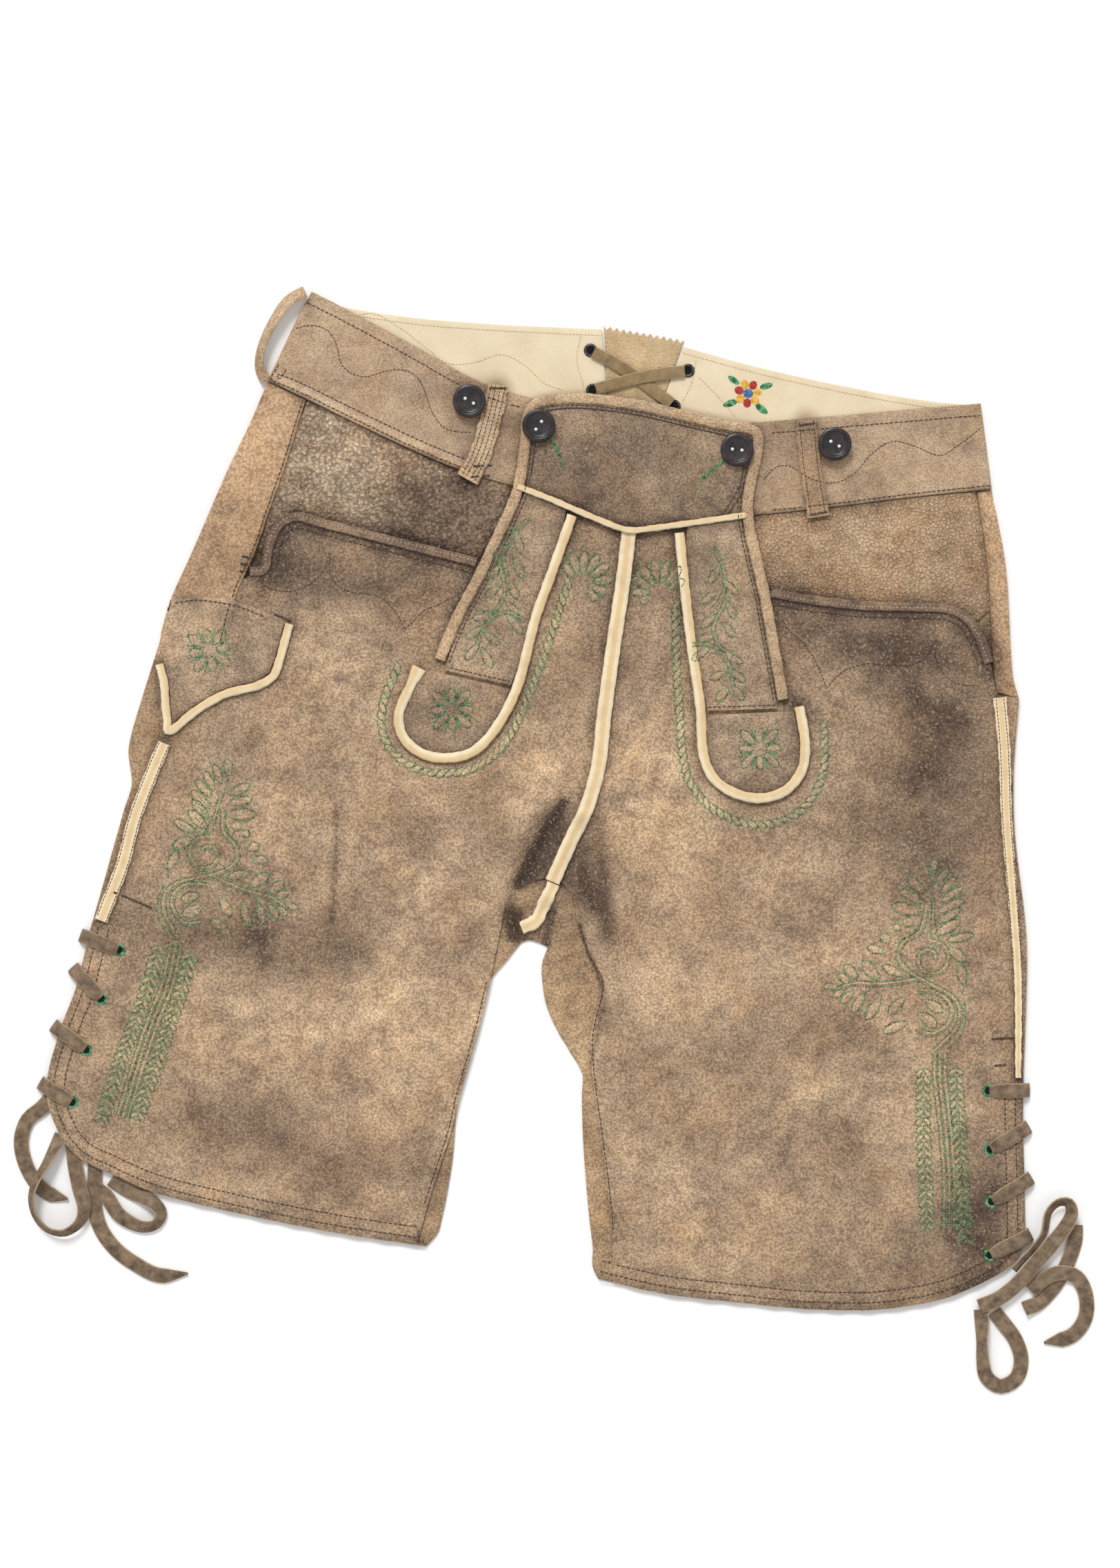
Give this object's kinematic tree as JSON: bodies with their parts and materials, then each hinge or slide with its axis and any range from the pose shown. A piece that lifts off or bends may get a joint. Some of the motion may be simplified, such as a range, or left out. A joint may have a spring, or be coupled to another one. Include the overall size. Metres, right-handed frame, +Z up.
{
  "type": "lederhosen",
  "caption": "Short suede lederhosen lying flat, with an embroidered fall flap, cream trims, horn buttons and laced leg sides.",
  "frame": {"origin": "on the surface under the middle of the garment's outline, at the underside of the right back panel", "axes": "+X to the right leg's side as seen, +Y to the waist, +Z up out of the front of the garment"},
  "size_m": [0.7264, 0.6775, 0.0139],
  "materials": {
    "suede": "nubuck suede with a worn patina",
    "suede_back": "nubuck suede, a little lighter",
    "side_leather": "orange tan smooth leather",
    "grain_leather": "coarse grained leather",
    "welt_leather": "dark worn leather",
    "band_leather": "smoother leather",
    "overlay_leather": "dark brown nubuck",
    "binding_leather": "tan leather",
    "cream_trim": "cream leather, two tone",
    "lining_cream": "cream lining leather",
    "gusset_suede": "light suede",
    "lace_leather": "flat leather lace",
    "button_horn": "dark horn, satin gloss",
    "eyelet_metal": "blackened metal"
  },
  "bodies": {
    "root": {"back_eyelet_lower_left": "eyelet_metal", "back_eyelet_lower_right": "eyelet_metal", "back_eyelet_upper_left": "eyelet_metal", "back_eyelet_upper_right": "eyelet_metal", "back_gusset": "gusset_suede", "back_lace_over": "lace_leather", "back_lace_under": "lace_leather", "back_panel_left": "suede_back", "back_panel_right": "suede_back", "belt_loop_front_left": "band_leather", "belt_loop_front_right": "band_leather", "belt_loop_side_left": "band_leather", "button_flap_left": "button_horn", "button_flap_right": "button_horn", "button_waist_left": "button_horn", "button_waist_right": "button_horn", "centre_strip": "cream_trim", "crotch_strip": "cream_trim", "fall_flap": "overlay_leather", "flap_binding": "binding_leather", "flap_piping": "cream_trim", "free_lace_left_inner": "lace_leather", "free_lace_left_loop": "lace_leather", "free_lace_left_outer": "lace_leather", "free_lace_left_tail": "lace_leather", "free_lace_right_back": "lace_leather", "free_lace_right_bow": "lace_leather", "free_lace_right_loop": "lace_leather", "free_lace_right_tail": "lace_leather", "front_panel_left": "suede", "front_panel_right": "suede", "hip_facing_left": "grain_leather", "hip_facing_right": "grain_leather", "leg_lace_left_1": "lace_leather", "leg_lace_left_2": "lace_leather", "leg_lace_left_3": "lace_leather", "leg_lace_left_4": "lace_leather", "leg_lace_right_1": "lace_leather", "leg_lace_right_2": "lace_leather", "leg_lace_right_3": "lace_leather", "leg_lace_right_4": "lace_leather", "pocket_flap": "overlay_leather", "pocket_flap_trim": "cream_trim", "pocket_welt_left": "welt_leather", "pocket_welt_right": "welt_leather", "side_panel_left": "side_leather", "side_panel_right": "side_leather", "side_strip_left": "cream_trim", "side_strip_right": "cream_trim", "strap_left": "overlay_leather", "strap_right": "overlay_leather", "strap_trim_left": "cream_trim", "strap_trim_right": "cream_trim", "tongue_left": "overlay_leather", "tongue_right": "overlay_leather", "waistband_back_left": "lining_cream", "waistband_back_right": "lining_cream", "waistband_front_left": "band_leather", "waistband_front_right": "band_leather"}
  },
  "joints": []
}
